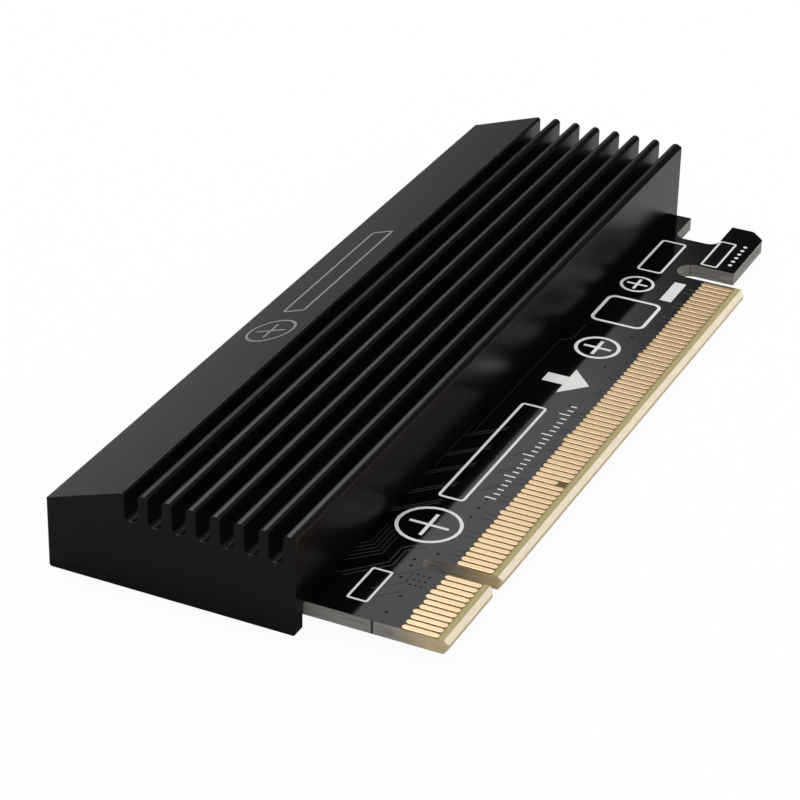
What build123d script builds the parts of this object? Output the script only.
from build123d import *
import os

# Drive adapter card: a short circuit board with a sixteen-lane edge connector, under one black
# finned heat sink. The board carries a socket, a standoff and a screw for an eighty millimetre
# drive, which lies in a bay milled into the underside of the heat sink. Four screws from below
# hold the board in a recess of the heat sink, between lips on three sides.
#
# All sizes are in millimetres. The card is modelled from its own datum: X runs along the card
# from the first contact, Y runs from the contact tips towards the heat sink, and Z = 0 is the
# front face of the board. At the end everything moves so that the origin is the middle of the
# card's footprint, on the surface that it lies on.

# Edge connector
contact_pitch = 1.0
contact_width = 0.74
contact_length = 4.1
contacts_before_key = 11
contacts_after_key = 71
key_step = 3.0              # from the last contact before the key to the first one after it
key_width = 1.9
key_depth = 8.37
short_front_contact = 31    # the presence contact of the front, which mates last
short_back_contact = 1
short_contact_cut = 1.05
bevel_run = 0.47
bevel_rise = 0.59
tip_to_bevel = 0.65
tongue_corner_radius = 0.5
near_margin = 0.48          # from the board's near edge to the first contact's centre line
far_margin = 0.95           # from the last contact's centre line to the end of the tongue

# Circuit board
board_thickness = 1.57
copper_thickness = 0.05
board_corner_radius = 2.0

# Latch hook beyond the tongue
hook_setback = 2.67
hook_slot_width = 3.5
hook_slot_depth = 9.22
hook_chamfer = 1.75
hook_corner_radius = 0.8
throat_height = 7.26        # from the tongue's edge to the near side of the throat
throat_width = 5.5
throat_depth = 5.9
throat_radius = 1.3

# Drive, as the socket and the standoffs hold it
drive_level = 1.4           # from the board to the underside of the drive
drive_thickness = 0.8
drive_lengths = [30.0, 42.0, 60.0, 80.0]

# Drive socket
socket_width = 21.9
socket_length = 8.7
socket_roof = 0.85
socket_floor = 0.15
socket_end_wall = 0.95
socket_insertion = 4.3
mouth_below = 0.1           # room in the mouth under the drive
mouth_above = 0.15
mouth_depth = 5.4
mouth_lead_in = 0.3
pin_pitch = 0.5
pin_width = 0.2
pin_thickness = 0.12
pin_clearance = 0.05
pin_foot = 0.7
pin_spring = 0.1            # how far a pin's bend reaches into the mouth
pin_inset = 0.3             # from the mouth's floor or ceiling to the straight of a pin
pin_reach = 3.2             # from the socket's front to the end of the straight
pin_bend = 0.8              # along the card, from the straight to the bend
pins_per_row = 38
key_first_pin = 29          # the row positions that the key takes up
key_pins = 4
key_rib_width = 1.0
tab_length = 1.8
tab_height = 1.1
tab_foot = 0.4
tab_thickness = 0.2

# Standoff and drive screw
standoff_diameter = 5.0
standoff_hole = 3.5
standoff_clearance = 0.05
standoff_recess = 0.2
land_diameter = 5.8
drive_screw_diameter = 2.0
drive_screw_reach = 2.2
drive_screw_head = 4.4
drive_screw_head_height = 0.6
drive_screw_edge = 0.15
drive_recess_depth = 0.4

# Case screws
screw_diameter = 2.0
screw_length = 5.0
screw_head = 3.8
screw_head_height = 1.15
screw_head_edge = 0.4
screw_hole = 2.4
screw_setback = 1.75        # across the card, from the bay's sides to the screws
screw_land_size = 4.8
screw_land_corner = 0.6
tapped_spare = 0.4          # how much deeper a tapped hole is than its screw
thread_gap = 0.02
recess_width = 0.5
recess_span = 2.1
recess_depth = 0.7
recess_taper = 14.0
recess_floor_share = 0.72   # the cross at its floor, as a share of its size at the top

# Drive bay in the underside of the heat sink
bay_clearance = 0.4         # from the socket's pins and the last land to the bay's ends
bay_side_clearance = 0.2    # from the socket's tabs to the bay's sides
bay_headroom = 0.7          # from the socket to the ceiling
bay_radius = 2.0

# Heat sink
tips_to_sink = 14.5
end_wall = 5.64             # of the bay, over the board's ends
front_wall = 2.05           # of the bay, on the connector side
rear_rim = 1.0              # what rests on the board behind the bay
board_gap = 0.45
rear_lip = 1.3
near_overhang = 2.0
far_overhang = 2.72
lip_drop = 1.43             # how far the lips reach below the back of the board
lip_bottom_radius = 0.3
recess_radius = 1.2
base_thickness = 1.1        # between the ceiling of the bay and the grooves
fin_height = 3.35
fin_count = 6
fin_width = 1.08
fin_pitch = 2.71
fin_tip_chamfer = 0.12
side_wall = 1.35
shoulder_step = 0.15        # how much lower than the fins the slope starts
shoulder_fall = 3.05
shoulder_edge_radius = 0.35

# Thermal pad and small components
pad_length = 68.0
pad_width = 20.0
pad_thickness = 1.0
pad_corner_radius = 0.6
pad_from_socket = 3.0
chip_1206 = (3.2, 1.6, 1.2)
chip_0603 = (1.6, 0.8, 0.8)
chip_0402 = (1.0, 0.5, 0.5)
resistor_0402 = (1.0, 0.5, 0.35)
fuse_1206 = (3.2, 1.6, 0.6)
chip_row_gap = 1.0
chip_gap = 0.9
socket_to_chips = 1.0       # from the feet of the lower pins to the first row of chips

# Places that follow from the sizes above, along the card
near_edge = -near_margin
last_contact = (contacts_before_key + contacts_after_key - 2) * contact_pitch + key_step
tongue_end = last_contact + far_margin
key_centre = (contacts_before_key - 1) * contact_pitch + key_step / 2
bay_near = near_edge + end_wall
socket_rear = bay_near + bay_clearance + pin_foot
socket_mouth = socket_rear + socket_length
drive_edge = socket_mouth - socket_insertion
standoff_places = [drive_edge + length for length in drive_lengths]
bay_far = standoff_places[-1] + land_diameter / 2 + bay_clearance
far_edge = bay_far + end_wall
board_length = far_edge - near_edge
sink_near = near_edge - near_overhang
sink_far = far_edge + far_overhang

# Across the card
tongue_edge = -(tip_to_bevel + bevel_run)
bay_width = socket_width + 2 * (tab_thickness + tab_foot + bay_side_clearance)
drive_axis = tips_to_sink + front_wall + bay_width / 2
rear_edge = drive_axis + bay_width / 2 + rear_rim
sink_rear = rear_edge + board_gap + rear_lip
groove_width = fin_pitch - fin_width
shoulder = tips_to_sink + side_wall + fin_count * fin_pitch + groove_width

# Upwards
back_face = -board_thickness
lip_bottom = back_face - lip_drop
mouth_bottom = drive_level - mouth_below
mouth_top = drive_level + drive_thickness + mouth_above
socket_height = mouth_top + socket_roof
bay_ceiling = socket_height + bay_headroom
groove_floor = bay_ceiling + base_thickness
fin_top = groove_floor + fin_height
shoulder_top = fin_top - shoulder_step
shoulder_foot = shoulder_top - shoulder_fall
screw_seat = back_face - copper_thickness
screw_tip = screw_seat + screw_length

# The case screws stand in the middle of the bay's end walls.
screw_places = [
    (x, drive_axis + side * (bay_width / 2 - screw_setback))
    for x in (near_edge + end_wall / 2, far_edge - end_wall / 2)
    for side in (-1, 1)
]


def along_x(profile, start, length):
    """Extrude a profile drawn in the YZ plane along X."""
    return Pos(start, 0, 0) * extrude(profile, amount=length)


def section(points):
    """A closed profile in the YZ plane, from (Y, Z) points."""
    return Plane.YZ * make_face(Polyline(*points, close=True))


def corners_near(sketch, level):
    """The corners of a YZ profile that lie at one height."""
    return [v for v in sketch.vertices() if abs(v.Z - level) < 1e-6]


def make_heat_sink():
    """One extrusion with grooves and a sloped shoulder, milled from below for board and drive."""
    outline = section([
        (tips_to_sink, lip_bottom), (sink_rear, lip_bottom), (sink_rear, shoulder_foot),
        (shoulder, shoulder_top), (shoulder, fin_top), (tips_to_sink, fin_top),
    ])
    round_level = groove_floor + groove_width / 2
    above = fin_top + groove_width
    for index in range(fin_count + 1):
        left = tips_to_sink + side_wall + index * fin_pitch
        right = left + groove_width
        channel = section([(left, round_level), (right, round_level), (right, above), (left, above)])
        round_floor = Plane.YZ * Pos((left + right) / 2, round_level) * Circle(groove_width / 2)
        outline = outline - (channel + round_floor)
    outline = chamfer(corners_near(outline, fin_top), fin_tip_chamfer)
    outline = fillet(corners_near(outline, shoulder_top), shoulder_edge_radius)
    outline = fillet(corners_near(outline, lip_bottom), lip_bottom_radius)
    sink = along_x(outline, sink_near, sink_far - sink_near)

    recess_length = board_length + 2 * board_gap
    recess_front = tips_to_sink - 2 * recess_radius
    recess_run = rear_edge + board_gap - recess_front
    recess = Pos((near_edge + far_edge) / 2, recess_front + recess_run / 2, lip_bottom) * (
        RectangleRounded(recess_length, recess_run, recess_radius)
    )
    sink = sink - extrude(recess, amount=-lip_bottom)
    bay = Pos((bay_near + bay_far) / 2, drive_axis, 0) * (
        RectangleRounded(bay_far - bay_near, bay_width, bay_radius)
    )
    sink = sink - extrude(bay, amount=bay_ceiling)
    for x, y in screw_places:
        tapped = Pos(x, y, 0) * Circle(screw_diameter / 2 + thread_gap)
        sink = sink - extrude(tapped, amount=screw_tip + tapped_spare)
    return sink


def slot_from_edge(centre, width, depth):
    """A slot with a round floor, cut into the tongue's side of the board."""
    mouth = tongue_edge - width
    floor = tongue_edge + depth - width / 2
    straight = Pos(centre, (mouth + floor) / 2) * Rectangle(width, floor - mouth)
    return straight + Pos(centre, floor) * Circle(width / 2)


def board_outline():
    """The board with its tongue, key, hook and latch throat, seen from the front."""
    hook_edge = tongue_edge + hook_setback
    outline = make_face(Polyline(
        (near_edge, tongue_edge), (tongue_end, tongue_edge), (tongue_end, hook_edge),
        (far_edge, hook_edge), (far_edge, rear_edge), (near_edge, rear_edge), close=True,
    ))
    key = slot_from_edge(key_centre, key_width, key_depth)
    slot = slot_from_edge(tongue_end + hook_slot_width / 2, hook_slot_width, hook_slot_depth)
    throat_run = throat_depth + 2 * throat_radius
    throat = Pos(far_edge - throat_depth + throat_run / 2, tongue_edge + throat_height + throat_width / 2) * (
        RectangleRounded(throat_run, throat_width, throat_radius)
    )
    outline = outline - key - slot - throat

    corner = (far_edge, hook_edge, 0)
    outline = chamfer(outline.vertices().sort_by_distance(corner)[0], hook_chamfer)
    outline = fillet(outline.vertices().sort_by_distance(corner)[:2], hook_corner_radius)
    rear_corners = [v for v in outline.vertices() if abs(v.Y - rear_edge) < 1e-6]
    outline = fillet(rear_corners, board_corner_radius)
    tongue_corners = [v for v in outline.vertices() if abs(v.Y - tongue_edge) < 1e-6]
    return fillet(tongue_corners, tongue_corner_radius)


def make_circuit_board():
    """The bare board: outline, bevelled tongue, screw holes and standoff holes."""
    board = extrude(board_outline(), amount=-board_thickness)
    start = tongue_edge + bevel_run
    outside = tongue_edge - bevel_run
    front_bevel = section([
        (start, 0), (tongue_edge, -bevel_rise), (outside, -bevel_rise),
        (outside, bevel_rise), (start, bevel_rise),
    ])
    back_bevel = section([
        (start, back_face), (tongue_edge, back_face + bevel_rise), (outside, back_face + bevel_rise),
        (outside, back_face - bevel_rise), (start, back_face - bevel_rise),
    ])
    for bevel in (front_bevel, back_bevel):
        board = board - along_x(bevel, near_edge - bevel_run, tongue_end - near_edge + 2 * bevel_run)
    holes = [(x, y, screw_hole) for x, y in screw_places]
    holes += [(x, drive_axis, standoff_hole) for x in standoff_places]
    for x, y, diameter in holes:
        board = board - extrude(Pos(x, y, 0) * Circle(diameter / 2), amount=-board_thickness)
    return board


def contact_centres():
    """The number and the X of every contact, on one side of the board."""
    before = [(n + 1, n * contact_pitch) for n in range(contacts_before_key)]
    first_after = before[-1][1] + key_step
    after = [
        (contacts_before_key + 1 + n, first_after + n * contact_pitch) for n in range(contacts_after_key)
    ]
    return before + after


def make_contacts(level, short_contact):
    """All contacts of one side, as separate strips of copper that start at a height."""
    solids = []
    for number, x in contact_centres():
        tip = short_contact_cut if number == short_contact else 0.0
        length = contact_length - tip
        strip = Pos(x, tip + length / 2, level) * Rectangle(contact_width, length)
        solids.append(extrude(strip, amount=copper_thickness))
    return solids


def pin_rows():
    """The Y places of the upper and the lower row of socket pins, without the key's own."""
    first = drive_axis - (pins_per_row - 1) * pin_pitch / 2
    kept = [n for n in range(pins_per_row) if not key_first_pin <= n < key_first_pin + key_pins]
    upper = [first + n * pin_pitch - pin_pitch / 4 for n in kept]
    lower = [first + n * pin_pitch + pin_pitch / 4 for n in kept[:-1]]
    return upper, lower


def along_y(points, centre, width):
    """Extrude a closed (X, Z) profile along Y, centred on a Y place."""
    profile = Plane.XZ * make_face(Polyline(*points, close=True))
    return Pos(0, centre, 0) * extrude(profile, amount=width / 2, both=True)


def make_socket_housing():
    """A low black moulding with a mouth for the drive and a slot for every pin."""
    rear = socket_rear
    front = socket_mouth
    back = front - mouth_depth
    body = along_y([
        (rear, socket_floor), (front, socket_floor), (front, socket_height), (rear, socket_height),
    ], drive_axis, socket_width)
    lead = mouth_lead_in
    mouth = along_y([
        (front + lead, mouth_bottom - 2 * lead), (front - lead, mouth_bottom), (back, mouth_bottom),
        (back, mouth_top), (front - lead, mouth_top), (front + lead, mouth_top + 2 * lead),
    ], drive_axis, socket_width - 2 * socket_end_wall)
    key_middle = drive_axis + (key_first_pin + (key_pins - 1) / 2 - (pins_per_row - 1) / 2) * pin_pitch
    key_rib = along_y([
        (back, mouth_bottom), (front - lead, mouth_bottom), (front - lead, mouth_top), (back, mouth_top),
    ], key_middle, key_rib_width)
    housing = body - (mouth - key_rib)

    upper, lower = pin_rows()
    slot_width = pin_width + 2 * pin_clearance
    channel = pin_thickness + pin_clearance
    roof = mouth_top + pin_inset + channel
    floor = mouth_bottom - pin_inset - channel
    behind = rear - socket_length
    ahead = front + socket_length
    slots = [along_y([
        (behind, 0), (rear + channel, 0), (rear + channel, mouth_top), (front - lead, mouth_top),
        (front - lead, roof), (behind, roof),
    ], y, slot_width) for y in upper]
    slots += [along_y([
        (ahead, 0), (front - channel, 0), (front - channel, floor), (back, floor),
        (back, mouth_bottom), (ahead, mouth_bottom),
    ], y, slot_width) for y in lower]
    return housing - slots


def strip_corners(path):
    """The two sides of a strip along a bent path, with mitred corners and square ends."""
    points = [Vector(*point) for point in path]
    steps = [(end - start).normalized() for start, end in zip(points, points[1:])]
    arrivals = [steps[0]] + steps
    departures = steps + [steps[-1]]
    near_side, far_side = [], []
    for point, arrival, departure in zip(points, arrivals, departures):
        mean = (arrival + departure).normalized()
        across = Vector(-mean.Y, mean.X) * (pin_thickness / 2 / mean.dot(arrival))
        near_side.append(point + across)
        far_side.insert(0, point - across)
    return [(corner.X, corner.Y) for corner in near_side + far_side]


def bent_pin(path, y):
    """One pin: a strip of even thickness whose middle follows a bent (X, Z) path."""
    return along_y(strip_corners(path), y, pin_width)


def make_upper_pins():
    """Pins that grip the drive's upper side and are soldered behind the socket."""
    half = pin_thickness / 2
    rear = socket_rear + half
    level = mouth_top + pin_inset
    bend = socket_mouth - pin_reach + pin_bend
    path = [
        (socket_rear - pin_foot, half), (rear, half), (rear, level), (socket_mouth - pin_reach, level),
        (bend, mouth_top - pin_spring),
    ]
    return [bent_pin(path, y) for y in pin_rows()[0]]


def make_lower_pins():
    """Pins that grip the drive's lower side and are soldered in front of the socket."""
    half = pin_thickness / 2
    front = socket_mouth - half
    level = mouth_bottom - pin_inset
    bend = socket_mouth - pin_reach - pin_bend
    path = [
        (socket_mouth + pin_foot, half), (front, half), (front, level), (socket_mouth - pin_reach, level),
        (bend, mouth_bottom + pin_spring),
    ]
    return [bent_pin(path, y) for y in pin_rows()[1]]


def make_hold_downs():
    """Two bent tabs that solder the ends of the socket to the board."""
    tabs = []
    for side in (-1, 1):
        wall = drive_axis + side * socket_width / 2
        points = [
            (wall, 0), (wall + side * (tab_thickness + tab_foot), 0),
            (wall + side * (tab_thickness + tab_foot), tab_thickness),
            (wall + side * tab_thickness, tab_thickness), (wall + side * tab_thickness, tab_height),
            (wall, tab_height),
        ]
        start = (socket_rear + socket_mouth) / 2 - tab_length / 2
        tabs.append(along_x(section(points), start, tab_length))
    return tabs


def turned(points, x, y):
    """Revolve an (R, Z) profile about a vertical line."""
    profile = Plane.XZ * make_face(Polyline(*points, close=True))
    return Pos(x, y, 0) * revolve(profile, axis=Axis.Z)


def make_drive_standoff():
    """A turned nut that stands on the board and reaches through its hole."""
    shank = standoff_hole / 2 - standoff_clearance
    bore = drive_screw_diameter / 2 + thread_gap
    foot = back_face + standoff_recess
    points = [
        (bore, foot), (shank, foot), (shank, copper_thickness),
        (standoff_diameter / 2, copper_thickness), (standoff_diameter / 2, drive_level),
        (bore, drive_level),
    ]
    return turned(points, standoff_places[-1], drive_axis)


def cross_recess(depth):
    """A tapered cross for a driver, with its floor at Z = 0 and its mouth above."""
    arms = Rectangle(recess_span, recess_width) + Rectangle(recess_width, recess_span)
    return extrude(scale(arms, recess_floor_share), amount=depth, taper=-recess_taper)


def make_drive_screw():
    """The low screw that holds the end of the drive on the standoff."""
    radius = drive_screw_diameter / 2
    head = drive_screw_head / 2
    top = drive_level + drive_screw_head_height
    tip = drive_level - drive_screw_reach
    points = [
        (0, tip), (radius, tip), (radius, drive_level), (head, drive_level),
        (head, top - drive_screw_edge), (head - drive_screw_edge, top), (0, top),
    ]
    screw = turned(points, 0, 0) - Pos(0, 0, top - drive_recess_depth) * cross_recess(drive_recess_depth)
    return Pos(standoff_places[-1], drive_axis, 0) * screw


def make_case_screws():
    """Four pan-head screws, from the back of the board into the heat sink."""
    foot = screw_seat - screw_head_height
    radius = screw_diameter / 2
    profile = make_face(Polyline(
        (0, foot), (screw_head / 2, foot), (screw_head / 2, screw_seat), (radius, screw_seat),
        (radius, screw_tip), (0, screw_tip), close=True,
    ))
    rim = profile.vertices().sort_by_distance((screw_head / 2, foot, 0))[0]
    screw = revolve(Plane.XZ * chamfer(rim, screw_head_edge), axis=Axis.Z)
    cross = Pos(0, 0, foot + recess_depth) * Rot(180, 0, 0) * cross_recess(recess_depth)
    screw = screw - cross
    return [Pos(x, y, 0) * screw for x, y in screw_places]


def make_screw_lands():
    """Square copper pads on the back, round the holes and under the heads of the case screws."""
    square = Rectangle(screw_land_size, screw_land_size)
    pad = chamfer(square.vertices(), screw_land_corner) - Circle(screw_hole / 2)
    return [Pos(x, y, screw_seat) * extrude(pad, amount=copper_thickness) for x, y in screw_places]


def make_standoff_land(level):
    """A copper ring of one side, round the hole that the standoff stands in."""
    ring = Circle(land_diameter / 2) - Circle(standoff_hole / 2)
    return [Pos(standoff_places[-1], drive_axis, level) * extrude(ring, amount=copper_thickness)]


def make_thermal_pad():
    """A soft pad that sticks to the ceiling of the bay, over the drive."""
    middle = socket_mouth + pad_from_socket + pad_length / 2
    outline = RectangleRounded(pad_length, pad_width, pad_corner_radius)
    outline = Pos(middle, drive_axis, bay_ceiling - pad_thickness) * outline
    return extrude(outline, amount=pad_thickness)


def chip(size, x, y):
    """One small block component, standing on the board."""
    return Pos(x, y, size[2] / 2) * Box(*size)


def chip_row(size, count, x, start):
    """A row of equal chips along Y, from the place of the first one's lower side."""
    pitch = size[1] + chip_gap
    return [chip(size, x, start + size[1] / 2 + n * pitch) for n in range(count)]


def make_chips():
    """The small components under the drive, in rows in front of the socket's mouth."""
    first = socket_mouth + pin_foot + socket_to_chips + chip_1206[0] / 2
    second = first + (chip_1206[0] + chip_0603[0]) / 2 + chip_row_gap
    third = second + (chip_0603[0] + chip_0402[0]) / 2 + chip_row_gap
    start = drive_axis - pad_width / 2
    return {
        "bulk_capacitors": chip_row(chip_1206, 3, first, start),
        "fuse": chip_row(fuse_1206, 1, first, start + 4 * (chip_1206[1] + chip_gap)),
        "decoupling_capacitors": chip_row(chip_0603, 5, second, start),
        "coupling_capacitors": chip_row(chip_0402, 8, third, start),
        "resistors": chip_row(resistor_0402, 4, second, drive_axis),
    }


def write(name, solids):
    """Move one node to the card's resting frame and write it."""
    middle_x = (sink_near + sink_far) / 2
    middle_y = (tongue_edge + sink_rear) / 2
    placed = [Pos(-middle_x, -middle_y, -lip_bottom) * solid for solid in solids]
    shape = placed[0] if len(placed) == 1 else Compound(children=placed)
    shape.label = name
    export_step(shape, f"parts/{name}.step")


os.makedirs("parts", exist_ok=True)
write("heat_sink", [make_heat_sink()])
write("circuit_board", [make_circuit_board()])
write("front_contacts", make_contacts(0, short_front_contact))
write("back_contacts", make_contacts(back_face - copper_thickness, short_back_contact))
write("socket_housing", [make_socket_housing()])
write("socket_upper_pins", make_upper_pins())
write("socket_lower_pins", make_lower_pins())
write("socket_hold_downs", make_hold_downs())
write("drive_standoff", [make_drive_standoff()])
write("drive_screw", [make_drive_screw()])
write("case_screws", make_case_screws())
write("screw_lands", make_screw_lands())
write("front_standoff_lands", make_standoff_land(0))
write("back_standoff_lands", make_standoff_land(back_face - copper_thickness))
write("thermal_pad", [make_thermal_pad()])
for chip_name, chips in make_chips().items():
    write(chip_name, chips)
